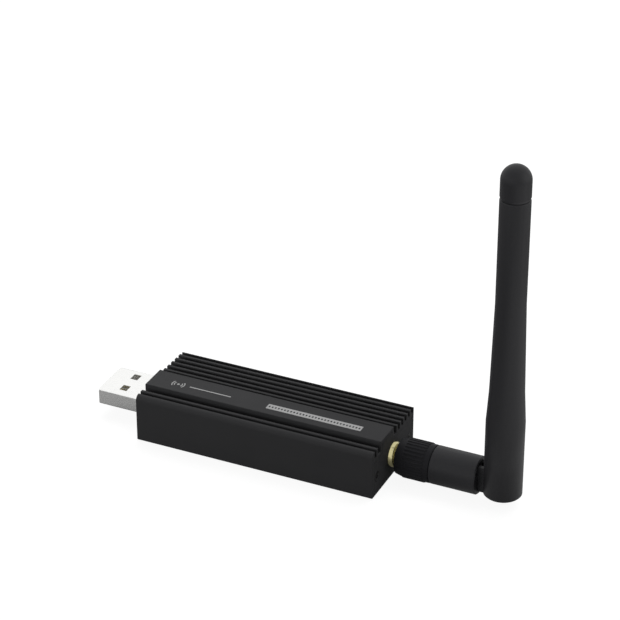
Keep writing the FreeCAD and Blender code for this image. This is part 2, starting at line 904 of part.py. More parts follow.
def make_grip():
    """The moulded grip over the turning nut, with ridges all round."""
    rim = "end_face + grip_start"
    inner_step = "end_face + nut_end + turning_gap"
    body = turned_part("coupling_grip", [
        (rim, "nut_radius + press_gap"),
        (inner_step, "nut_radius + press_gap"),
        (inner_step, "plug_stem_radius + grip_bore_gap"),
        ("end_face + grip_end", "plug_stem_radius + grip_bore_gap"),
        ("end_face + grip_end", "grip_radius", "edge_chamfer", "chamfer"),
        (rim + " + grip_rim_length", "grip_radius"),
        (rim, "grip_rim_radius"),
    ])
    root = "grip_radius - turning_gap"
    section = draw(new_sketch(body, "YZ", "end_face + ridge_start"), [
        ("-ridge_root_width / 2", root),
        ("ridge_root_width / 2", root),
        ("ridge_top_width / 2", "ridge_radius"),
        ("-ridge_top_width / 2", "ridge_radius"),
    ])
    ridge = pad(body, section, "ridge_end - ridge_start")
    pattern = body.newObject("PartDesign::PolarPattern", "coupling_grip_ridges")
    pattern.Originals = [ridge]
    axis = [item for item in body.Origin.OriginFeatures if item.Role == "X_Axis"][0]
    pattern.Axis = (axis, [""])
    pattern.Angle = 360
    bind(pattern, Occurrences="ridge_count")
    body.Tip = pattern
    return body


def make_coupling_nut():
    """The turning nut: a threaded bore and a lip that pulls on the plug's flange."""
    return turned_part("coupling_nut", [
        ("end_face + nut_start", "nut_bore_radius"),
        ("lip_face", "nut_bore_radius"),
        ("lip_face", "plug_stem_radius + nut_lip_gap"),
        ("end_face + nut_end", "plug_stem_radius + nut_lip_gap"),
        ("end_face + nut_end", "nut_radius"),
        ("end_face + nut_start", "nut_radius"),
    ])


def make_plug():
    """The antenna's plug: tube, flange and a long stem with a groove for the clip."""
    groove = "plug_stem_radius - clip_groove_depth"
    body = turned_part("antenna_plug_body", [
        ("jack_seat + plug_seat_gap", "plug_bead_radius"),
        ("end_face + plug_bead_end", "plug_bead_radius"),
        ("end_face + plug_bead_end", "plug_cable_radius"),
        ("stem_end", "plug_cable_radius"),
        ("stem_end", "plug_stem_radius"),
        ("clip_back + clip_gap", "plug_stem_radius"),
        ("clip_back + clip_gap", groove),
        ("clip_face - clip_gap", groove),
        ("clip_face - clip_gap", "plug_stem_radius"),
        ("flange_back", "plug_stem_radius"),
        ("flange_back", "plug_flange_radius"),
        ("flange_front", "plug_flange_radius"),
        ("flange_front", "plug_tube_radius"),
        ("jack_seat + plug_seat_gap", "plug_tube_radius"),
    ])
    insulator = turned_part("antenna_plug_insulator", rectangle(
        "jack_seat + plug_seat_gap", "end_face + plug_bead_end",
        "plug_pin_radius + press_gap", "plug_bead_radius - press_gap",
    ))
    pin = turned_part("antenna_plug_pin", [
        ("jack_seat + plug_seat_gap - plug_pin_reach", "0"),
        ("end_face + plug_pin_end", "0"),
        ("end_face + plug_pin_end", "plug_pin_radius"),
        ("jack_seat + plug_seat_gap - plug_pin_reach", "plug_pin_radius", "plug_pin_radius / 2", "chamfer"),
    ])
    return [body, insulator, pin, make_clip()]


def make_clip():
    """A sprung ring with an opening, which holds the barrel on the stem."""
    body = turned_part("swivel_clip", rectangle(
        "clip_face", "clip_back", "clip_inner_radius", "clip_radius",
    ))
    opening = draw(new_sketch(body, "YZ", "clip_back + clip_gap"), rectangle(
        "-clip_opening / 2", "clip_opening / 2", "0", "clip_radius * 2",
    ))
    pocket(body, opening, "clip_thickness + 2 * clip_gap")
    return body


def make_barrel():
    """The swivelling barrel: bored for the stem, with two lugs that carry the trunnions."""
    face = "end_face + barrel_start"
    step = "stem_end + barrel_stop_gap"
    groove = "clip_radius + clip_gap"
    body = turned_part("antenna_barrel", [
        (face, "barrel_bore_radius"),
        ("clip_face - 2 * clip_gap", "barrel_bore_radius"),
        ("clip_face - 2 * clip_gap", groove),
        ("clip_back + 2 * clip_gap", groove),
        ("clip_back + 2 * clip_gap", "barrel_bore_radius"),
        (step, "barrel_bore_radius"),
        (step, "barrel_cable_radius"),
        ("barrel_face", "barrel_cable_radius"),
        ("barrel_face", "barrel_radius", "edge_chamfer", "chamfer"),
        (face, "barrel_radius", "edge_chamfer", "chamfer"),
    ])
    lugs = new_sketch(body, "XZ")
    root = "barrel_face - barrel_stop_gap"
    draw(lugs, [
        (root, "-lug_radius"),
        ("pivot", "-lug_radius", ("lug_radius", 1)),
        ("pivot + lug_radius", "0", ("lug_radius", 1)),
        ("pivot", "lug_radius"),
        (root, "lug_radius"),
    ])
    pad(body, lugs, "2 * lug_outer", middle=True)
    trunnions = new_sketch(body, "XZ")
    draw_circle(trunnions, "pivot", "0", "trunnion_radius")
    pad(body, trunnions, "2 * (lug_outer + trunnion_length)", middle=True)
    channel = draw(new_sketch(body, "XZ"), rectangle(
        "barrel_face", "pivot + 2 * lug_radius", "-2 * lug_radius", "2 * lug_radius",
    ))
    pocket(body, channel, "2 * lug_inner", middle=True)
    bore = draw(new_sketch(body, "YZ", "barrel_face"), rectangle(
        "-lug_inner", "lug_inner", "-barrel_cable_radius", "barrel_cable_radius",
    ))
    pocket(body, bore, "2 * barrel_stop_gap")
    return body


def make_upright():
    """The upright cover: a moulded tube that swells into a slotted knuckle at the hinge."""
    axis = "antenna_axis"
    body = upright_part("upright_cover", [
        ("cover_throat_radius", "knuckle_bottom"),
        ("knuckle_radius", "knuckle_bottom", "knuckle_chamfer", "chamfer"),
        ("knuckle_radius", "knuckle_top"),
        ("neck_radius", "neck_height"),
        ("mast_radius", "mast_height"),
        ("mast_radius", "seam_height - seam_groove_half"),
        ("mast_radius - seam_groove_depth", "seam_height"),
        ("cover_bore_radius", "seam_height"),
        ("cover_bore_radius", "cover_bore_start"),
        ("cover_throat_radius", "cover_throat_end"),
    ])
    beyond = "2 * knuckle_radius"
    slot = draw(new_sketch(body, "XZ"), [
        ("-" + beyond, axis + " - " + beyond),
        ("slot_reach", axis + " - " + beyond),
        ("slot_reach", axis + " + slot_reach", "slot_corner_radius"),
        ("-" + beyond, axis + " + slot_reach"),
    ])
    pocket(body, slot, "2 * slot_half_width", middle=True)
    holes = new_sketch(body, "XZ")
    draw_circle(holes, "0", axis, "trunnion_radius + trunnion_gap")
    pocket(body, holes, "2 * (lug_outer + trunnion_length + trunnion_end_gap)", middle=True)
    return body


def make_cap():
    """The round-topped cap, with a spigot that plugs the upright cover."""
    spigot = "cover_bore_radius - cap_spigot_gap"
    dome = "seam_height + cap_straight"
    return upright_part("upright_cap", [
        ("0", "seam_height - cap_spigot_length"),
        (spigot, "seam_height - cap_spigot_length"),
        (spigot, "seam_height"),
        ("mast_radius - seam_groove_depth", "seam_height"),
        ("mast_radius", "seam_height + seam_groove_half"),
        ("mast_radius", dome, ("mast_radius", 1)),
        ("0", dome + " + mast_radius"),
    ])


def make_conductors():
    """The thin coaxial cable through the hinge, the brass sleeve and the whip."""
    cable = new_body("antenna_cable", z="antenna_axis")
    start = "end_face + plug_bead_end + plug_seat_gap"
    route = new_sketch(cable, "XZ")
    draw(route, [
        (start, "0"),
        ("pivot - cable_bend_radius", "0", ("cable_bend_radius", 1)),
        ("pivot", "cable_bend_radius"),
        ("pivot", "cable_top - antenna_axis"),
    ], closed=False)
    section = new_sketch(cable, "YZ", start)
    draw_circle(section, "0", "0", "cable_radius")
    pipe = cable.newObject("PartDesign::AdditivePipe", "antenna_cable_sweep")
    pipe.Profile = section
    doc.recompute()
    pipe.Spine = (route, ["Edge%d" % (index + 1) for index in range(3)])
    sleeve = upright_part("dipole_sleeve", rectangle(
        "sleeve_bore_radius", "sleeve_radius", "sleeve_bottom", "cable_top",
    ))
    whip = rod("whip_conductor", "whip_radius", "whip_length", "pivot", "0", "cable_top")
    return [cable, sleeve, whip]


parts = [
    make_housing(),
    make_end_plate("usb_end_plate", "-end_face", -1, usb_opening),
    make_end_plate("antenna_end_plate", "plate_inner_face", 1, jack_opening),
    make_screws(),
    make_usb_shell(),
    make_usb_insulator(),
    make_usb_contacts(),
    make_board(),
    make_coupling_nut(),
    make_grip(),
    make_barrel(),
    make_upright(),
    make_cap(),
]
parts += make_board_parts()
parts += make_jack()
parts += make_plug()
parts += make_conductors()
doc.recompute()

for item in doc.Objects:
    if "Invalid" in item.State or "Error" in item.State:
        raise ValueError("%s did not build: %s" % (item.Label, item.State))
for item in parts:
    if item.Shape.isNull() or not item.Shape.isValid():
        raise ValueError("%s has no valid shape" % item.Label)

os.makedirs("parts", exist_ok=True)
for item in parts:
    item.Shape.exportStep(os.path.join("parts", item.Label + ".step"))
    print("%-26s %9.2f mm3, %d solid(s)" % (item.Label, item.Shape.Volume, len(item.Shape.Solids)))
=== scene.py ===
"""Looks of a USB radio stick with a fold-over whip antenna: finishes, small parts, light, camera.

Metres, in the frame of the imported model: X along the stick, Z up, origin under the housing.
"""

import json
import math

import bpy
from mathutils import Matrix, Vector


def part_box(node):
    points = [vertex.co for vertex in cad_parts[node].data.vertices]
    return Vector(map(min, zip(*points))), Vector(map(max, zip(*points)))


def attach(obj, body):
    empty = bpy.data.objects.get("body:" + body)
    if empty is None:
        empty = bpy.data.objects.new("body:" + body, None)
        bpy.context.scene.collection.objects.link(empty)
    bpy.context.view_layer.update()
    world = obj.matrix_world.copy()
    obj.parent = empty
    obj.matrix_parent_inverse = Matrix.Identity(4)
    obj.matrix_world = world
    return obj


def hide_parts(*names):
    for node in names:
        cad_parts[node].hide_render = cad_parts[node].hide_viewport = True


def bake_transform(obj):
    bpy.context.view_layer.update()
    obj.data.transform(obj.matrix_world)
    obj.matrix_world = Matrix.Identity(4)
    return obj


MM = 0.001

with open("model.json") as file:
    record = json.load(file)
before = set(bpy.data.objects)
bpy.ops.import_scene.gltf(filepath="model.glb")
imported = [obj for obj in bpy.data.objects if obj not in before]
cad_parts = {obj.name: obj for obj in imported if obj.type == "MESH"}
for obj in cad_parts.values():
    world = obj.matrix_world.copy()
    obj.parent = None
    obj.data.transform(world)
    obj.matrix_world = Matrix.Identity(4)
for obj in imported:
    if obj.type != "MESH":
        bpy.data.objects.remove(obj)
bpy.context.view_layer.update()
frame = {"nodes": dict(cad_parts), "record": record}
nodes = frame["nodes"]


# Materials

def linear(hex_text):
    """An sRGB hex colour as the linear RGBA that a shader takes."""
    channels = [int(hex_text[i:i + 2], 16) / 255 for i in (1, 3, 5)]
    curve = [c / 12.92 if c <= 0.04045 else ((c + 0.055) / 1.055) ** 2.4 for c in channels]
    return (*curve, 1.0)


def add(tree, kind, inputs=None, **settings):
    """Adds a node, sets its properties, and links or sets its inputs."""
    node = tree.nodes.new(kind)
    for name, setting in settings.items():
        setattr(node, name, setting)
    for name, given in (inputs or {}).items():
        if isinstance(given, bpy.types.NodeSocket):
            tree.links.new(given, node.inputs[name])
        else:
            node.inputs[name].default_value = given
    return node


def new_material(name):
    """A material by that name, and its empty node tree."""
    material = bpy.data.materials.new(name)
    material.use_nodes = True
    tree = material.node_tree
    tree.nodes.clear()
    return material, tree


def close_material(tree, shader):
    """Sends the shader to the surface."""
    add(tree, "ShaderNodeOutputMaterial", {"Surface": shader.outputs[0]})


def anodised_aluminium(light, dark):
    """Extruded aluminium, bead blasted and dyed: a dull sparkle with no clear reflection."""
    grit_size = 0.22 * MM       # blasting grit, drawn as coarse as it needs to show
    cloud_size = 9 * MM         # slow change of the dye along the extrusion
    material, tree = new_material("black anodised aluminium")
    place = add(tree, "ShaderNodeTexCoord").outputs["Object"]
    grit = add(tree, "ShaderNodeTexNoise", {
        "Vector": place, "Scale": 1 / grit_size, "Detail": 3.0, "Roughness": 0.6,
    })
    cloud = add(tree, "ShaderNodeTexNoise", {
        "Vector": place, "Scale": 1 / cloud_size, "Detail": 2.0,
    })
    colour = add(tree, "ShaderNodeMix", {
        "Factor": cloud.outputs["Fac"], "A": linear(dark), "B": linear(light),
    }, data_type="RGBA")
    roughness = add(tree, "ShaderNodeMapRange", {
        "Value": grit.outputs["Fac"], "To Min": 0.52, "To Max": 0.68,
    })
    bump = add(tree, "ShaderNodeBump", {
        "Strength": 0.25, "Distance": 0.02 * MM, "Height": grit.outputs["Fac"],
    })
    shader = add(tree, "ShaderNodeBsdfPrincipled", {
        "Base Color": colour.outputs["Result"],
        "Roughness": roughness.outputs["Result"],
        "IOR": 1.6,
        "Specular IOR Level": 0.08,
        "Normal": bump.outputs["Normal"],
    })
    close_material(tree, shader)
    return material


def black_abs(name, light, dark, gloss):
    """Moulded ABS with a fine spark-eroded texture: black, with a soft band of light."""
    grain_size = 0.3 * MM       # eroded texture of the mould, drawn coarser than the real 0.05 mm
    material, tree = new_material(name)
    place = add(tree, "ShaderNodeTexCoord").outputs["Object"]
    grain = add(tree, "ShaderNodeTexNoise", {
        "Vector": place, "Scale": 1 / grain_size, "Detail": 2.0, "Roughness": 0.5,
    })
    colour = add(tree, "ShaderNodeMix", {
        "Factor": grain.outputs["Fac"], "A": linear(dark), "B": linear(light),
    }, data_type="RGBA")
    roughness = add(tree, "ShaderNodeMapRange", {
        "Value": grain.outputs["Fac"], "To Min": 0.4, "To Max": 0.52,
    })
    bump = add(tree, "ShaderNodeBump", {
        "Strength": 0.2, "Distance": 0.02 * MM, "Height": grain.outputs["Fac"],
    })
    shader = add(tree, "ShaderNodeBsdfPrincipled", {
        "Base Color": colour.outputs["Result"],
        "Roughness": roughness.outputs["Result"],
        "IOR": 1.52,
        "Specular IOR Level": gloss,
        "Normal": bump.outputs["Normal"],
    })
    close_material(tree, shader)
    return material


def metal(name, light, dark, smoothest, roughest, stretch, grain_mm):
    """A bare or plated metal: fine marks of `grain_mm`, drawn out `stretch` times along X."""
    material, tree = new_material(name)
    place = add(tree, "ShaderNodeTexCoord").outputs["Object"]
    turned = add(tree, "ShaderNodeMapping", {"Vector": place, "Scale": (1 / stretch, 1.0, 1.0)})
    marks = add(tree, "ShaderNodeTexNoise", {
        "Vector": turned.outputs["Vector"], "Scale": 1 / (grain_mm * MM), "Detail": 1.5,
    })
    colour = add(tree, "ShaderNodeMix", {
        "Factor": marks.outputs["Fac"], "A": linear(light), "B": linear(dark),
    }, data_type="RGBA")
    roughness = add(tree, "ShaderNodeMapRange", {
        "Value": marks.outputs["Fac"], "To Min": smoothest, "To Max": roughest,
    })
    bump = add(tree, "ShaderNodeBump", {
        "Strength": 0.015, "Distance": 0.01 * MM, "Height": marks.outputs["Fac"],
    })
    shader = add(tree, "ShaderNodeBsdfPrincipled", {
        "Base Color": colour.outputs["Result"],
        "Roughness": roughness.outputs["Result"],
        "Metallic": 1.0,
        "Normal": bump.outputs["Normal"],
    })
    close_material(tree, shader)
    return material


def moulding(name, light, dark, roughness):
    """A plain moulded or coated surface with a faint mottle."""
    mottle_size = 0.4 * MM
    material, tree = new_material(name)
    place = add(tree, "ShaderNodeTexCoord").outputs["Object"]
    grain = add(tree, "ShaderNodeTexNoise", {
        "Vector": place, "Scale": 1 / mottle_size, "Detail": 3.0,
    })
    colour = add(tree, "ShaderNodeMix", {
        "Factor": grain.outputs["Fac"], "A": linear(light), "B": linear(dark),
    }, data_type="RGBA")
    shader = add(tree, "ShaderNodeBsdfPrincipled", {
        "Base Color": colour.outputs["Result"],
        "Roughness": roughness,
    })
    close_material(tree, shader)
    return material


finish = {
    # Housing and end plates: dead black, so that only the rib edges and the platform stand out
    "anodised_black": anodised_aluminium(light="#323233", dark="#2d2d2e"),
    # Barrel and upright: satin, with one soft band of light along their right side, from the side
    # lamp and from the floor's painted pool of light that they mirror
    "black_plastic": black_abs("black moulded ABS", light="#272729", dark="#222224", gloss=0.18),
    # Plug shell: nearly white on top, and grey on the side that mirrors the table's painted shade
    # by the stick
    "tinned_steel": metal(
        "tinned steel sheet", light="#fbfbfa", dark="#f5f5f3",
        smoothest=0.24, roughest=0.3, stretch=12, grain_mm=0.25,
    ),
    # Antenna jack, nut and plug: turned and plated, a pale yellow glint
    "gold_brass": metal(
        "gold plated brass", light="#cec69c", dark="#bbb282",
        smoothest=0.18, roughest=0.26, stretch=3, grain_mm=0.2,
    ),
    # Contacts: rolled strip with a thin flash of gold, paler and duller than the jack
    "contact_gold": metal(
        "gold flashed contact", light="#dcd3b6", dark="#cbc1a0",
        smoothest=0.25, roughest=0.35, stretch=6, grain_mm=0.2,
    ),
    # Screws: oiled black oxide, a dark sheen in the recess
    "screw_black": metal(
        "black oxide steel", light="#2b2b2c", dark="#1f1f20",
        smoothest=0.35, roughest=0.5, stretch=1, grain_mm=0.2,
    ),
    # Shield can and crystal: drawn tinplate, a grey gloss with rolling marks
    "can_metal": metal(
        "tinned can", light="#c8c8c6", dark="#b6b6b4",
        smoothest=0.3, roughest=0.42, stretch=8, grain_mm=0.3,
    ),
    # Clip on the plug's stem: tempered, darker than the can
    "spring_steel": metal(
        "spring steel", light="#9a9a9a", dark="#868686",
        smoothest=0.3, roughest=0.4, stretch=4, grain_mm=0.2,
    ),
    # Antenna sleeve and whip: drawn copper, a warm red gloss
    "copper": metal(
        "bare copper", light="#d59a72", dark="#c48660",
        smoothest=0.25, roughest=0.35, stretch=6, grain_mm=0.2,
    ),
    # Plug tongue and button: moulded polyester, an opaque warm white
    "white_plastic": moulding("white PBT", light="#f2f1ed", dark="#e9e8e4", roughness=0.45),
    # Insulators of jack and plug: turned, waxy white
    "ptfe": moulding("PTFE", light="#ece9e2", dark="#e2dfd8", roughness=0.35),
    # Circuit board: lacquer over glass cloth, a deep green gloss
    "board_green": moulding("solder mask", light="#10251c", dark="#16301f", roughness=0.3),
    # Chips: moulded with a matt tool, flat black
    "chip_black": moulding("moulded epoxy", light="#1c1c1c", dark="#262626", roughness=0.55),
    # Status lights: cast epoxy, pale and glossy
    "led_clear": moulding("clear epoxy", light="#d8dccb", dark="#c9cdbc", roughness=0.15),
    # Capacitors: fired, an even tan with no gloss
    "ceramic_tan": moulding("fired ceramic", light="#9a7a58", dark="#8a6b4b", roughness=0.5),
    # Cable jacket: extruded over the braid, smooth brown with a clear shine
    "cable_brown": moulding(
        "fluoropolymer jacket", light="#7a4a26", dark="#6a3e1e", roughness=0.25,
    ),
}

for part in frame["record"]["subparts"]:
    mesh = nodes[part["node"]].data
    mesh.materials.clear()
    mesh.materials.append(finish[part["material_slot"]])


# Working on a mesh by hand

WELD = 0.0005 * MM      # points nearer than this are one point
TOUCH = 0.01 * MM       # a point this near to a face lies on it


def only(piece):
    """Makes `piece` the one selected and active object."""
    bpy.ops.object.select_all(action="DESELECT")
    piece.select_set(True)
    bpy.context.view_layer.objects.active = piece
    return piece


def new_piece(name):
    """Names the object that was just added and puts its place into its mesh."""
    piece = bpy.context.active_object
    piece.name = name
    piece.data.name = name
    bpy.ops.object.transform_apply(location=True, rotation=True, scale=True)
    return piece


def flat_grid(name, place, size, columns, rows=1):
    """A flat rectangle cut into columns and rows, lying level."""
    bpy.ops.object.select_all(action="DESELECT")
    bpy.ops.mesh.primitive_grid_add(
        x_subdivisions=columns, y_subdivisions=rows, size=1, location=place,
    )
    bpy.context.active_object.scale = (*size, 1)
    return new_piece(name)


def flat_ring(name, place, radius, corners, fill="NOTHING"):
    """A level circle of edges, filled with one face when `fill` is NGON."""
    bpy.ops.object.select_all(action="DESELECT")
    bpy.ops.mesh.primitive_circle_add(
        vertices=corners, radius=radius, fill_type=fill, location=place,
    )
    return new_piece(name)


def choose(piece, kind, wanted):
    """Opens `piece` for editing, with the points, edges or faces selected that `wanted` takes."""
    only(piece)
    mesh = piece.data
    bpy.ops.object.mode_set(mode="EDIT")
    bpy.ops.mesh.select_mode(type=kind)
    bpy.ops.mesh.select_all(action="DESELECT")
    bpy.ops.object.mode_set(mode="OBJECT")
    if kind == "VERT":
        for vertex in mesh.vertices:
            vertex.select = wanted(vertex.co)
    elif kind == "EDGE":
        for edge in mesh.edges:
            edge.select = wanted(*(mesh.vertices[index].co for index in edge.vertices))
    else:
        for face in mesh.polygons:
            face.select = wanted(face)
    bpy.ops.object.mode_set(mode="EDIT")


def choose_all(piece):
    """Opens `piece` for editing with every point selected."""
    choose(piece, "VERT", lambda spot: True)


def done():
    """Closes the mesh that is being edited."""
    bpy.ops.object.mode_set(mode="OBJECT")


def modify(piece, kind, **settings):
    """Adds a modifier, sets it and applies it."""
    only(piece)
    modifier = piece.modifiers.new(kind.title(), kind)
    for name, setting in settings.items():
        setattr(modifier, name, setting)
    bpy.ops.object.modifier_apply(modifier=modifier.name)


def soften(piece, width, sharper_than):
    """Rounds every edge of `piece` that turns by more than that many degrees."""
    modify(
        piece, "BEVEL", width=width, segments=2,
        limit_method="ANGLE", angle_limit=math.radians(sharper_than),
    )


def cut(piece, cutter):
    """Takes the closed mesh `cutter` out of `piece` and deletes it."""
    modify(piece, "BOOLEAN", operation="DIFFERENCE", solver="EXACT", object=cutter)
    bpy.data.objects.remove(cutter)


def outward(piece):
    """Merges doubles and turns every face outwards."""
    choose_all(piece)
    bpy.ops.mesh.remove_doubles(threshold=WELD)
    bpy.ops.mesh.normals_make_consistent(inside=False)
    done()


def copy_of(node, name):
    """A copy of a CAD solid, with its loose triangles merged and its flat faces made whole."""
    piece = bpy.data.objects.new(name, nodes[node].data.copy())
    bpy.context.scene.collection.objects.link(piece)
    choose_all(piece)
    bpy.ops.mesh.remove_doubles(threshold=WELD)
    bpy.ops.mesh.dissolve_limited(angle_limit=math.radians(0.5))
    done()
    return piece


def copy_piece(piece, name):
    """Another piece of the same shape, with its own mesh."""
    twin = bpy.data.objects.new(name, piece.data.copy())
    bpy.context.scene.collection.objects.link(twin)
    return twin


def join(pieces, name):
    """Makes one piece of several."""
    bpy.ops.object.select_all(action="DESELECT")
    for piece in pieces:
        piece.select_set(True)
    bpy.context.view_layer.objects.active = pieces[0]
    bpy.ops.object.join()
    return new_piece(name)


def dress(piece, material, angle):
    """Smooths the curves of `piece` and gives it its material."""
    only(piece)
    bpy.ops.object.shade_smooth_by_angle(angle=math.radians(angle))
    piece.data.materials.clear()
    piece.data.materials.append(material)


def keep(piece, body, *replaced, slot=None, material=None, angle=30):
    """Finishes a piece: its look, from its slot's finish or a material of its own, the body it
    rides, and the CAD nodes it stands for, which are hidden.
    """
    dress(piece, material or finish[slot], angle)
    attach(piece, body)
    if replaced:
        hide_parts(*replaced)
    return piece


# Where things are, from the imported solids

housing_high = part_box("housing_extrusion")[1]
end_face = housing_high.x
platform_top = housing_high.z
nut_low, nut_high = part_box("coupling_nut")
antenna_axis = (nut_low.z + nut_high.z) / 2


# Pieces

def threaded_jack():
    """The jack's barrel, plain by the end plate, then a V groove wound round and cut out."""
    pitch = 25.4 / 36 * MM              # 36 turns to the inch
    barrel_radius = 3.175 * MM
    plain_length = 0.75 * MM
    groove_depth = 0.42 * MM
    groove_size = 0.38 * MM             # from the middle of the V to its corners
    turns = 12
    steps_per_turn = 48
    start = end_face + plain_length
    piece = copy_of("antenna_jack_body", "threaded_jack")
    bpy.ops.object.select_all(action="DESELECT")
    # The thread starts under the jack, where it is out of sight
    bpy.ops.mesh.primitive_circle_add(
        vertices=3, radius=groove_size, fill_type="NOTHING",
        location=(start, 0, antenna_axis - barrel_radius + groove_depth - groove_size),
        rotation=(math.radians(90), 0, 0),
    )
    groove = new_piece("thread_groove")
    bpy.context.scene.cursor.location = (start, 0, antenna_axis)
    bpy.ops.object.origin_set(type="ORIGIN_CURSOR")
    modify(
        groove, "SCREW", axis="X", screw_offset=pitch, iterations=turns,
        steps=steps_per_turn, render_steps=steps_per_turn, use_smooth_shade=False,
    )
    choose_all(groove)
    bpy.ops.mesh.fill_holes(sides=3)
    bpy.ops.mesh.normals_make_consistent(inside=False)
    done()
    cut(piece, groove)
    return keep(piece, "stick", "antenna_jack_body", slot="gold_brass", angle=25)


def crossed_screws():
    """Four sunk screws with a bevelled head and a tapered cross recess."""
    low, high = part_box("end_plate_screws")
    head_radius = 1.3 * MM
    head_height = 0.6 * MM
    head_bevel = 0.14 * MM
    shank_radius = 0.85 * MM
    screw_length = 6.0 * MM
    tip_inset = 0.3 * MM
    tip_bevel = 0.1 * MM
    blade_depth, blade_width, blade_thickness = 0.7 * MM, 1.5 * MM, 0.32 * MM
    blade_taper = 0.6
    side, height = high.y - head_radius, (low.z + high.z) / 2

    def inward(face):
        return face.normal.x < -0.9

    bpy.ops.object.select_all(action="DESELECT")
    bpy.ops.mesh.primitive_cylinder_add(
        vertices=40, radius=head_radius, depth=head_height,
        location=(high.x - head_height / 2, side, height), rotation=(0, math.radians(90), 0),
    )
    screw = new_piece("screw")
    choose(screw, "EDGE", lambda a, b: min(a.x, b.x) > high.x - TOUCH)
    bpy.ops.mesh.bevel(offset=head_bevel, segments=3, affect="EDGES")
    done()
    choose(screw, "FACE", inward)
    bpy.ops.mesh.inset(thickness=head_radius - shank_radius)
    bpy.ops.mesh.extrude_region_move(
        TRANSFORM_OT_translate={"value": (head_height - screw_length, 0, 0)},
    )
    bpy.ops.mesh.inset(thickness=tip_inset)
    bpy.ops.mesh.bevel(offset=tip_bevel, segments=1, affect="EDGES")
    done()
    for quarter in (0, 90):
        bpy.ops.object.select_all(action="DESELECT")
        bpy.ops.mesh.primitive_cube_add(
            size=1, location=(high.x, side, height), rotation=(math.radians(quarter), 0, 0),
            scale=(blade_depth, blade_width, blade_thickness),
        )
        blade = new_piece("driver_blade")
        choose(blade, "FACE", inward)
        bpy.ops.transform.resize(value=(1, blade_taper, blade_taper))
        done()
        cut(screw, blade)

    # One beside it on the same plate, then both turned round to the other plate
    beside = copy_piece(screw, "screw_beside")
    choose_all(beside)
    bpy.ops.transform.translate(value=(0, -2 * side, 0))
    done()
    pieces = [screw, beside]
    for source in (screw, beside):
        twin = copy_piece(source, source.name + "_far")
        twin.rotation_euler = (0, 0, math.radians(180))
        only(twin)
        bpy.ops.object.transform_apply(location=True, rotation=True, scale=True)
        pieces.append(twin)
    piece = join(pieces, "cross_recess_screws")
    return keep(piece, "stick", "end_plate_screws", slot="screw_black", angle=35)


def folded_usb_shell():
    """The plug's sheet shell with broken edges and the dovetailed seam under it."""
    low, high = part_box("usb_shell")
    edge_radius = 0.06 * MM
    seam_width = 0.09 * MM
    seam_below, seam_height = 0.05 * MM, 0.12 * MM      # from under the sheet to inside it
    overhang = 0.2 * MM
    strips = 24
    tooth_reach = 1.3 * MM
    tooth_flare = 1.5
    piece = copy_of("usb_shell", "folded_usb_shell")
    soften(piece, edge_radius, sharper_than=60)
    start = low.x - overhang
    length = high.x - low.x + 2 * overhang
    step = length / strips
    middle = ((low.x + high.x) / 2, 0, low.z - seam_below)
    seam = flat_grid("seam_cutter", middle, (length, seam_width), strips)
    for tooth in (4, 12):
        near = start + tooth * step
        choose(seam, "VERT", lambda spot: near - 0.1 * step < spot.x < near + 2.1 * step)
        bpy.ops.transform.translate(value=(0, tooth_reach, 0))
        bpy.ops.transform.resize(
            value=(tooth_flare, 1, 1), center_override=(near + step, 0, 0),
        )
        done()
    choose_all(seam)
    bpy.ops.mesh.extrude_region_move(TRANSFORM_OT_translate={"value": (0, 0, seam_height)})
    bpy.ops.mesh.select_all(action="SELECT")
    bpy.ops.mesh.normals_make_consistent(inside=False)
    done()
    cut(piece, seam)
    return keep(piece, "stick", "usb_shell", slot="tinned_steel", angle=35)


def soft_grip():
    """The moulded grip: ridges with soft edges, and a rim that meets the barrel in a fine line."""
    low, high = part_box("coupling_grip")
    radius = (high.z - low.z) / 2
    chamfer = 0.25 * MM         # as the solid has it
    line = 0.06 * MM            # what is left of it
    edge_radius = 0.07 * MM
    piece = copy_of("coupling_grip", "moulded_grip")

    def on_rim(spot):
        reach = math.hypot(spot.y, spot.z - antenna_axis)
        return spot.x > high.x - TOUCH and reach > 0.8 * radius

    choose(piece, "VERT", on_rim)
    grow = (radius - line) / (radius - chamfer)
    bpy.ops.transform.resize(value=(1, grow, grow), center_override=(high.x, 0, antenna_axis))
    done()
    soften(piece, edge_radius, sharper_than=28)
    # The barrel's black plastic, darker and duller: the darker colour is painted shade on the
    # grip, and the ridges stay dull, with no line of light on them
    dull = black_abs("black plastic with painted shade, dull", light="#242426", dark="#1f1f21", gloss=0.05)
    return keep(piece, "coupling", "coupling_grip", material=dull, angle=40)


def tumbled_housing():
    """The extrusion with its sawn ends broken by tumbling, which gives them a thin bright edge."""
    edge_width = 0.09 * MM
    wall_side = 11.5 * MM               # past this the section is side wall
    floor_top = 1.0 * MM                # below this it is floor
    roof_bottom = 10.5 * MM             # above this it is roof and ribs
    recess_left, recess_right = -6.7 * MM, -0.7 * MM    # the hollow under the platform
    recess_top = 12.7 * MM
    piece = copy_of("housing_extrusion", "tumbled_housing")

    def outer_edge(a, b):
        middle = (a + b) / 2
        if min(abs(a.x), abs(b.x)) < end_face - TOUCH:
            return False
        in_recess = recess_left < middle.y < recess_right and middle.z < recess_top
        on_roof = middle.z > roof_bottom and not in_recess
        return middle.z < floor_top or abs(middle.y) > wall_side or on_roof

    choose(piece, "EDGE", outer_edge)
    bpy.ops.mesh.bevel(offset=edge_width, segments=2, affect="EDGES")
    done()
    return keep(piece, "stick", "housing_extrusion", slot="anodised_black", angle=30)


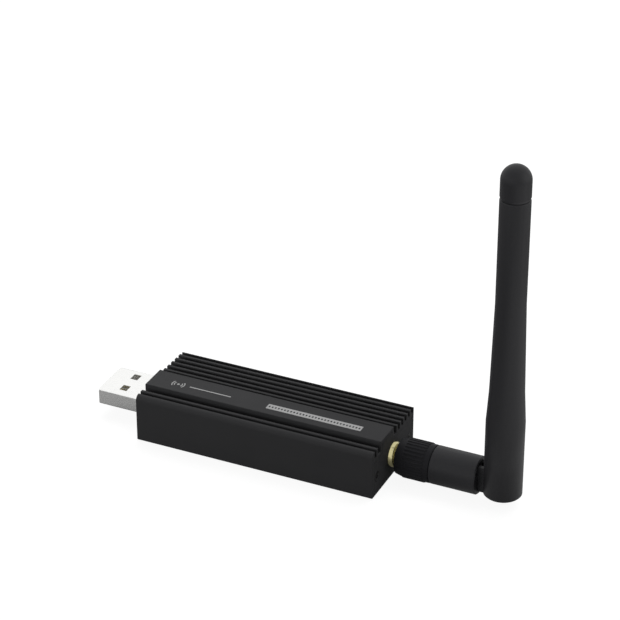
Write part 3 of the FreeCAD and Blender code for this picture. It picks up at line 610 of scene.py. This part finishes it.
def rounded_foot():
    """The upright cover: its foot and slot with rounded edges, its top a hair short of the cap."""
    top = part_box("upright_cover")[1].z
    top_ring = 0.05 * MM
    seam = 0.14 * MM
    edge_radius = 0.12 * MM
    piece = copy_of("upright_cover", "moulded_upright")
    choose(piece, "VERT", lambda spot: spot.z > top - top_ring)
    bpy.ops.transform.translate(value=(0, 0, -seam))
    done()
    soften(piece, edge_radius, sharper_than=50)
    return keep(piece, "upright", "upright_cover", slot="black_plastic", angle=40)


def hinge_cable():
    """The thin coaxial cable that runs through the hinge, one tube bent up from the barrel into
    the upright.
    """
    bend_radius = 5 * MM
    cable_radius = 0.7 * MM
    jacket_radius = 0.68 * MM           # just inside the solid that it stands for
    start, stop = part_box("antenna_cable")
    pivot = stop.x - cable_radius
    bpy.ops.object.select_all(action="DESELECT")
    bpy.ops.curve.primitive_nurbs_path_add(location=(0, 0, 0))
    line = bpy.context.active_object
    line.data.splines.clear()
    route = line.data.splines.new("NURBS")
    points = (
        (start.x, antenna_axis), (pivot - bend_radius, antenna_axis), (pivot, antenna_axis),
        (pivot, antenna_axis + bend_radius), (pivot, stop.z),
    )
    route.points.add(len(points) - 1)
    for point, (x, z) in zip(route.points, points):
        point.co = (x, 0, z, 1)
    route.use_endpoint_u = True
    route.order_u = 3
    route.resolution_u = 12
    line.data.bevel_depth = jacket_radius
    line.data.bevel_resolution = 4
    line.data.use_fill_caps = True
    bpy.ops.object.convert(target="MESH")
    piece = new_piece("hinge_cable")
    outward(piece)
    dress(piece, finish["cable_brown"], angle=40)
    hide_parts("antenna_cable")
    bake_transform(piece)
    return piece


def printed_ink():
    """Pad printed ink: a thin light grey coat, matt, uneven where the grit shows through."""
    grit_size = 0.25 * MM
    material, tree = new_material("light grey pad printing")
    place = add(tree, "ShaderNodeTexCoord").outputs["Object"]
    cover = add(tree, "ShaderNodeTexNoise", {
        "Vector": place, "Scale": 1 / grit_size, "Detail": 3.0,
    })
    colour = add(tree, "ShaderNodeMix", {
        "Factor": cover.outputs["Fac"], "A": linear("#a9a9a9"), "B": linear("#8f8f8f"),
    }, data_type="RGBA")
    shader = add(tree, "ShaderNodeBsdfPrincipled", {
        "Base Color": colour.outputs["Result"],
        "Roughness": 0.6,
        "Specular IOR Level": 0.3,
    })
    close_material(tree, shader)
    return material


def platform_print():
    """Plain marks: a light bar with a row of small gaps, a rule, and a mast between its waves."""
    coat = 0.02 * MM
    base = platform_top + 0.002 * MM
    row_y = -4.2 * MM
    bar_x, bar_length, bar_width = 12.8 * MM, 25.4 * MM, 2.1 * MM
    bar_columns, bar_rows = 61, 3
    gap_reach = 0.3 * MM
    mast_x = -24.5 * MM
    mast_radius = 0.34 * MM
    wave_radii = (0.9 * MM, 1.5 * MM)
    wave_width = 0.26 * MM
    wave_half_angle = math.radians(42)
    rule_x, rule_length, rule_width = -15.6 * MM, 11.4 * MM, 0.34 * MM

    def gap(face):
        column = int((face.center.x - (bar_x - bar_length / 2)) / (bar_length / bar_columns))
        return abs(face.center.y - row_y) < gap_reach and column % 2 == 1

    bar = flat_grid(
        "printed_bar", (bar_x, row_y, base), (bar_length, bar_width), bar_columns, bar_rows,
    )
    choose(bar, "FACE", gap)
    bpy.ops.mesh.delete(type="FACE")
    done()
    marks = [bar]
    mast = (mast_x, row_y, base)
    slope = math.tan(wave_half_angle)
    for radius in wave_radii:
        waves = flat_ring("waves", mast, radius, 64)
        choose(waves, "VERT", lambda spot: abs(spot.y - row_y) > slope * abs(spot.x - mast_x))
        bpy.ops.mesh.delete(type="VERT")
        done()
        choose_all(waves)
        bpy.ops.mesh.extrude_region_move()
        grow = (radius + wave_width) / radius
        bpy.ops.transform.resize(value=(grow, grow, 1), center_override=mast)
        done()
        marks.append(waves)
    marks.append(flat_ring("mast_head", mast, mast_radius, 32, "NGON"))
    marks.append(flat_grid("rule", (rule_x, row_y, base), (rule_length, rule_width), 12))
    piece = join(marks, "platform_print")
    outward(piece)
    modify(piece, "SOLIDIFY", thickness=coat, offset=1)
    return keep(piece, "stick", material=printed_ink(), angle=30)


threaded_jack()
crossed_screws()
folded_usb_shell()
soft_grip()
tumbled_housing()
rounded_foot()
hinge_cable()
platform_print()


# Floor and background

def pale_floor():
    """Matt white card, white to the eye; reflections find painted shade on it by the stick, a
    painted pool of light where the side light falls, and white far off.
    """
    tooth_size = 2 * MM
    shown = 0.9                             # share of white that the eye finds
    painted_pool_middle = (0.2, -0.06, 0)           # middle of the painted pool of light that reflections find, where the side light falls on the card
    material, tree = new_material("matt white card")
    path = add(tree, "ShaderNodeLightPath")
    place = add(tree, "ShaderNodeTexCoord").outputs["Object"]
    tooth = add(tree, "ShaderNodeTexNoise", {
        "Vector": place, "Scale": 1 / tooth_size, "Detail": 2.0,
    })
    colour = add(tree, "ShaderNodeMix", {
        "Factor": tooth.outputs["Fac"], "A": linear("#737373"), "B": linear("#777777"),
    }, data_type="RGBA")
    card = add(tree, "ShaderNodeBsdfDiffuse", {"Color": colour.outputs["Result"]})
    # Painted light, seen in reflections only: a painted pool of light round the side light's spot
    from_painted_pool = add(tree, "ShaderNodeVectorMath", {0: place, 1: painted_pool_middle}, operation="DISTANCE")
    bright = add(tree, "ShaderNodeMapRange", {
        "Value": from_painted_pool.outputs["Value"],
        "From Min": 0.1, "From Max": 0.17, "To Min": 1.3, "To Max": 0.13,
    })
    # Painted shade by the stick in reflections, rising to white far off
    from_stick = add(tree, "ShaderNodeVectorMath", {0: place, 1: (0, 0, 0)}, operation="DISTANCE")
    far = add(tree, "ShaderNodeMapRange", {
        "Value": from_stick.outputs["Value"],
        "From Min": 0.3, "From Max": 0.6, "To Min": 0.0, "To Max": shown,
    })
    painted_reflection = add(tree, "ShaderNodeMath", {
        0: bright.outputs["Result"], 1: far.outputs["Result"],
    }, operation="MAXIMUM")
    mirrored = add(tree, "ShaderNodeMath", {
        0: path.outputs["Is Glossy Ray"], 1: painted_reflection.outputs[0],
    }, operation="MULTIPLY")
    seen = add(tree, "ShaderNodeMath", {
        0: path.outputs["Is Camera Ray"], 1: path.outputs["Is Transmission Ray"],
    }, operation="MAXIMUM")
    share = add(tree, "ShaderNodeMath", {
        0: seen.outputs[0], 1: shown, 2: mirrored.outputs[0],
    }, operation="MULTIPLY_ADD")
    glow = add(tree, "ShaderNodeEmission", {"Color": (1, 1, 1, 1), "Strength": share.outputs[0]})
    both = add(tree, "ShaderNodeAddShader", {0: card.outputs[0], 1: glow.outputs[0]})
    close_material(tree, both)
    return material


def white_room():
    """A plain world: white to the eye and in reflections, and dim as a light of its own."""
    world = bpy.data.worlds.new("studio")
    world.use_nodes = True
    tree = world.node_tree
    tree.nodes.clear()
    path = add(tree, "ShaderNodeLightPath")
    through = add(tree, "ShaderNodeMath", {
        0: path.outputs["Is Glossy Ray"], 1: path.outputs["Is Transmission Ray"],
    }, operation="MAXIMUM")
    seen = add(tree, "ShaderNodeMath", {
        0: path.outputs["Is Camera Ray"], 1: through.outputs[0],
    }, operation="MAXIMUM")
    strength = add(tree, "ShaderNodeMapRange", {
        "Value": seen.outputs[0], "To Min": 0.2, "To Max": 1.0,
    })
    sky = add(tree, "ShaderNodeBackground", {
        "Color": (1, 1, 1, 1), "Strength": strength.outputs["Result"],
    })
    add(tree, "ShaderNodeOutputWorld", {"Surface": sky.outputs[0]})
    return world


bpy.ops.object.select_all(action="DESELECT")
bpy.ops.mesh.primitive_plane_add(size=6.0, location=(0, 0, 0))
floor = bpy.context.active_object
floor.name = "floor"
floor.data.materials.append(pale_floor())
bpy.context.scene.world = white_room()


# Lamps

def soft_box(name, place, size, watts, mirrored=True):
    """An area lamp at `place`, facing the stick; it is left out of reflections on request."""
    stick_middle = Vector((0.01, 0.0, 0.03))
    lamp = bpy.data.lights.new(name, "AREA")
    lamp.shape = "RECTANGLE"
    lamp.size, lamp.size_y = size
    lamp.energy = watts
    holder = bpy.data.objects.new(name, lamp)
    bpy.context.scene.collection.objects.link(holder)
    holder.visible_glossy = mirrored
    holder.location = place
    holder.rotation_euler = (stick_middle - Vector(place)).to_track_quat("-Z", "Y").to_euler()
    return holder


# The tops: platform, ribs and plug
soft_box("overhead", place=(-0.05, 0.4, 0.6), size=(1.0, 0.7), watts=5.6, mirrored=False)
# The band of light along the right of the barrel and the upright, together with the painted pool
# of light in the floor's reflection
soft_box("right_side", place=(0.55, 0.05, 0.2), size=(0.5, 0.5), watts=1.0)
# The long front face
soft_box("front_fill", place=(-0.3, -0.7, 0.18), size=(1.4, 0.34), watts=4.0, mirrored=False)


# Camera at the photograph's viewpoint, solved from the housing's edges

camera_data = bpy.data.cameras.new("camera")
camera_data.sensor_width = 36.0
camera_data.lens = 148.57
camera = bpy.data.objects.new("camera", camera_data)
camera.location = (0.23545, -0.48605, 0.3427)
camera.rotation_euler = (math.radians(60.598), 0.0, math.radians(24.913))
bpy.context.scene.collection.objects.link(camera)
bpy.context.scene.camera = camera
bpy.context.scene.view_settings.view_transform = "Standard"
